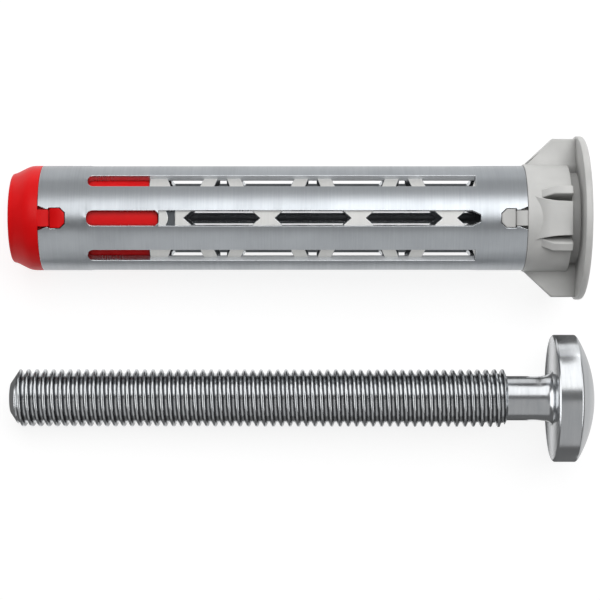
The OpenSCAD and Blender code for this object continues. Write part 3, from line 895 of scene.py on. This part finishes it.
# The inside is dull, and its dark tone is painted shade inside the tube.
inside = zinc("zinc_inside_painted_shade", "#55585B", "#606366", 1.0, 0.5, GRAIN, sleeve_tilt, 0.06, sleeve)
# The webs' pale tone is a painted sheen where they face the light, not a burnish.
zinc("zinc_web_painted_sheen", "#D4D4D2", "#DCDCDA", 0.4, 0.45, GRAIN, sleeve_tilt, 0.06, sleeve)
# Slot 6, the fold's face, reuses the inside's dark tone as painted shade.
for material in (edge, inside, inside, inside, inside, plate):
    sleeve.data.materials.append(material)
zinc("zinc_satin_edge", "#C4C7CA", "#D0D3D6", 0.3, 0.5, GRAIN, sleeve_tilt, 0.02, sleeve)
# Slot 13, the rear slanted rows' edges, reuses the inside's dark tone as painted shade.
for material in (inside, plate, inside, inside):
    sleeve.data.materials.append(material)
print("sleeve's slots:", len(sleeve.data.materials))

# %% Finish of the screw
# Bright plating over a turned and rolled blank. In the photograph the thread's flanks are much
# darker than its crests, because they mirror each other, so they get a painted shade of their own.
TURNED_GRAIN = 0.5
FLANK_PAINTED_SHADE = "#33363A"
zinc("zinc_plated_thread", "#C0C3C6", "#CFD1D3", 1.0, 0.22, TURNED_GRAIN, screw_tilt, 0.06, screw,
     flank=FLANK_PAINTED_SHADE)

# %% Moulded nylon
# Nylon comes from the mould with a half gloss and a faint orange-peel skin, drawn coarser than it
# is so that it shows. Crevices get painted shade by how much sky they see. The photograph takes
# the items one by one, so a mirror further off than MIRROR_REACH sees the plastic painted dark.
MIRROR_REACH = 6
CREVICE = 2.0
DRIFT = 3
PEEL = 0.25
PEEL_DEPTH = 0.02
NYLON_SPREAD = 0.05
NYLON_IOR = 1.53
SHADE = "#202020"


def nylon(name, dark, light, rough, specular, piece):
    """Plastic whose tone and gloss drift over DRIFT mm, with a fine bump of PEEL mm."""
    material, tree = new_material(name)
    where = add_node(tree, "ShaderNodeTexCoord", {})
    drift_map = add_node(tree, "ShaderNodeMapping", {
        "Vector": (where, "Object"), "Scale": (DRIFT * MM,) * 3}, vector_type="TEXTURE")
    drift = add_node(tree, "ShaderNodeTexNoise", {
        "Vector": (drift_map, "Vector"), "Scale": 1.0, "Detail": 3.0})
    peel_map = add_node(tree, "ShaderNodeMapping", {
        "Vector": (where, "Object"), "Scale": (PEEL * MM,) * 3}, vector_type="TEXTURE")
    peel = add_node(tree, "ShaderNodeTexNoise", {
        "Vector": (peel_map, "Vector"), "Scale": 1.0, "Detail": 2.0})
    ramp = add_node(tree, "ShaderNodeMapRange", {
        "Value": (drift, "Fac"), "From Min": 0.35, "From Max": 0.65})
    colour = add_node(tree, "ShaderNodeMix", {
        "Factor": (ramp, "Result"), "A": linear(dark), "B": linear(light)}, data_type="RGBA")
    # Painted shade in crevices: the colour darkens towards SHADE where less sky is seen.
    open_sky = add_node(tree, "ShaderNodeAmbientOcclusion", {"Distance": CREVICE * MM}, samples=8)
    crevice = add_node(tree, "ShaderNodeMapRange", {
        "Value": (open_sky, "AO"), "From Min": 0.3, "From Max": 0.8, "To Min": 0.42, "To Max": 0.0})
    colour = add_node(tree, "ShaderNodeMix", {
        "Factor": (crevice, "Result"), "A": (colour, "Result"), "B": linear(SHADE)},
        data_type="RGBA")
    # Painted dark for mirrors further off than MIRROR_REACH.
    path = add_node(tree, "ShaderNodeLightPath", {})
    far = add_node(tree, "ShaderNodeMath", {
        0: (path, "Ray Length"), 1: MIRROR_REACH * MM}, operation="GREATER_THAN")
    far_mirror = add_node(tree, "ShaderNodeMath", {
        0: (far, "Value"), 1: (path, "Is Glossy Ray")}, operation="MULTIPLY")
    colour = add_node(tree, "ShaderNodeMix", {
        "Factor": (far_mirror, "Value"), "A": (colour, "Result"), "B": linear(SHADE)},
        data_type="RGBA")
    gloss = add_node(tree, "ShaderNodeMapRange", {
        "Value": (drift, "Fac"), "From Min": 0.3, "From Max": 0.7,
        "To Min": rough - NYLON_SPREAD, "To Max": rough + NYLON_SPREAD})
    relief = add_node(tree, "ShaderNodeBump", {
        "Height": (peel, "Fac"), "Strength": 0.12, "Distance": PEEL_DEPTH * MM})
    shader = add_node(tree, "ShaderNodeBsdfPrincipled", {
        "Base Color": (colour, "Result"), "Roughness": (gloss, "Result"), "IOR": NYLON_IOR,
        "Specular IOR Level": specular, "Normal": (relief, "Normal")})
    finish_material(material, tree, shader, piece)


nylon("red_nylon_moulded", "#E60C10", "#F01418", 0.42, 0.15, nut)
nylon("grey_nylon_moulded", "#CCCCCA", "#D6D6D4", 0.45, 0.4, collar)

# %% [markdown]
# ## Floor, light and camera
# The items lie on a pale surface and are seen from straight above the sleeve. The photograph
# lights each item by itself: one softbox draws the bright band along the sleeve, and a wide one
# covers the screw's far side. Light linking does the same here: a lamp, or a floor that glows,
# lights only the pieces of its group. An even surround fills the rest.

# %% The pale floor
FLOOR_SIZE = 1.2
floor_corners = FLOOR_SIZE / 2 * np.array([[[-1, -1], [1, -1]], [[-1, 1], [1, 1]]])
floor = make_object("pale_floor", [np.dstack([floor_corners, np.zeros((2, 2))])], [False],
                    closed=False)
material, tree = new_material("pale_table")
shader = add_node(tree, "ShaderNodeBsdfPrincipled", {
    "Base Color": linear("#8C8C8C"), "Roughness": 0.8, "Emission Color": linear("#FFFFFF"),
    "Emission Strength": 0.85})
finish_material(material, tree, shader, floor)


def lit_group(name, *pieces):
    """A collection of the pieces that a light reaches."""
    group = bpy.data.collections.new(name)
    for piece in pieces:
        group.objects.link(piece)
    return group


anchor_group = lit_group("lit_anchor", sleeve, nut, collar, floor)
sleeve_group = lit_group("lit_sleeve", sleeve)
screw_group = lit_group("lit_screw", screw)
floor.light_linking.receiver_collection = anchor_group

# %% Soft studio light
scene = bpy.context.scene
scene.view_settings.view_transform = "Standard"
world = bpy.data.worlds.new("studio")
world.use_nodes = True
world.node_tree.nodes.clear()
surround = add_node(world.node_tree, "ShaderNodeBackground", {
    "Color": linear("#FFFFFF"), "Strength": 0.14})
add_node(world.node_tree, "ShaderNodeOutputWorld", {"Surface": (surround, "Background")})
scene.world = world
LAMP_DISTANCE = 0.3
MIDDLE_Z = 8 * MM
middle = np.array([0.0, 0.0, MIDDLE_Z])


def aim(target, spot, upright):
    """Turn an object at spot to look at target: columns right, up and back of its frame."""
    back = (spot - target) / np.linalg.norm(spot - target)
    right = np.cross(upright, back)
    right /= np.linalg.norm(right)
    rotation = np.stack([right, np.cross(back, right), back], axis=1)
    return Matrix.Translation(spot) @ Matrix(rotation.tolist()).to_4x4()


def panel(name, group, spot, target, size_x, size_y, glow):
    """A rectangle of light at spot, turned to target: watts = pi * area * glow."""
    lamp = bpy.data.lights.new(name, "AREA")
    lamp.shape = "RECTANGLE"
    lamp.size, lamp.size_y = size_x, size_y
    lamp.energy = np.pi * size_x * size_y * glow
    holder = bpy.data.objects.new(name, lamp)
    holder.light_linking.receiver_collection = group
    holder.matrix_world = aim(target, spot, np.cross(spot - target, [1.0, 0.0, 0.0]))
    scene.collection.objects.link(holder)
    print(name, "at", spot.round(3))


def softbox(name, group, lean, heading, size_x, size_y, glow):
    """A panel over the items, leaned from straight up towards a heading, 0 at +X and 90 at +Y."""
    lean, heading = np.radians([lean, heading])
    flat = np.sin(lean) * np.array([np.cos(heading), np.sin(heading)])
    panel(name, group, middle + LAMP_DISTANCE * np.append(flat, np.cos(lean)), middle,
          size_x, size_y, glow)


# Each line gives the lean and the heading in degrees, the two sizes in metres and the glow.
softbox("anchor_key", anchor_group, 25.4, 70, 0.30, 0.21, 3.25)
softbox("anchor_side", anchor_group, 65, 90, 0.36, 0.25, 0.55)
softbox("sleeve_fill", sleeve_group, -55, 90, 0.36, 0.36, 0.86)
softbox("screw_key", screw_group, 62, 90, 0.36, 0.54, 1.5)
softbox("screw_fill", screw_group, -45, 90, 0.36, 0.60, 0.38)
softbox("screw_left", screw_group, 68, 180, 0.30, 0.36, 2.0)
softbox("screw_right", screw_group, 68, 0, 0.30, 0.36, 2.0)

# %% [markdown]
# The photograph's screw also mirrors the pale table: in its head's back face, in the dome, and
# along both sides of the thread. The floor doesn't light the screw here, so four small panels
# that lie on it and face up stand for that. Two upright cards beyond the screw draw the bright
# stripes on its shank and on the side of its head. Sizes are in mm.

# %% Table light for the screw
BOUNCE_Z = 0.3 * MM
BOUNCE_GLOW = 0.9
DOME_GLOW = 0.5
BESIDE_THREAD = 4.2
STRIP = (50, 5.4)
skyward = np.array([0.0, 0.0, 1.0])
back_x, screw_y = place(screw_axis, head_back, 0, 0)[:2]
dome_x = back_x + (HEAD_SIDE + HEAD_DOME) * MM
thread_x = place(screw_axis, (SCREW_TIP + thread_end) / 2, 0, 0)[0]
for name, x, across, (size_x, size_y), glow in (
        ("bounce_back", back_x - 0.7 * MM, 0, (1.2, 15), BOUNCE_GLOW),
        ("bounce_dome", dome_x + 13 * MM, 0, (24, 40), DOME_GLOW),
        ("bounce_far", thread_x, BESIDE_THREAD, STRIP, BOUNCE_GLOW),
        ("bounce_near", thread_x, -BESIDE_THREAD, STRIP, BOUNCE_GLOW)):
    spot = np.array([x, screw_y + across * MM, BOUNCE_Z])
    panel(name, screw_group, spot, spot + skyward, size_x * MM, size_y * MM, glow)

# %% Upright cards beyond the screw
CARD_DISTANCE = 10
for name, s, rise, size_x, size_y in (("card_shank", head_back - 3.2, -1.4, 5.4, 6),
                                      ("card_head", head_back + 4, 2.6, 9, 4.4)):
    spot = place(screw_axis, s, 0, 0) + np.array([0, CARD_DISTANCE, rise]) * MM
    nearer = spot - np.array([0, 1, 0])
    panel(name, screw_group, spot, nearer, size_x * MM, size_y * MM, BOUNCE_GLOW)

# %% The camera
# The photograph's camera stands square to the sleeve's axis, above a point CAMERA_FOOT along it,
# and looks at a point between the two items, AIM_DOWN to the side of that.
CAMERA_FOOT = 26.22
CAMERA_HEIGHT = 192.0
AIM_DOWN = 8.41
LENS = 112.2
NEAREST = 0.01
zero, along, up, side = sleeve_axis
foot = zero + CAMERA_FOOT * along
spot = (foot + CAMERA_HEIGHT * up) * MM
target = (foot + AIM_DOWN * side) * MM
camera_data = bpy.data.cameras.new("camera")
camera_data.lens = LENS
camera_data.clip_start = NEAREST
camera = bpy.data.objects.new("camera", camera_data)
camera.matrix_world = aim(target, spot, np.array([0.0, 1.0, 0.0]))
scene.collection.objects.link(camera)
scene.camera = camera
print("camera at", spot.round(4))
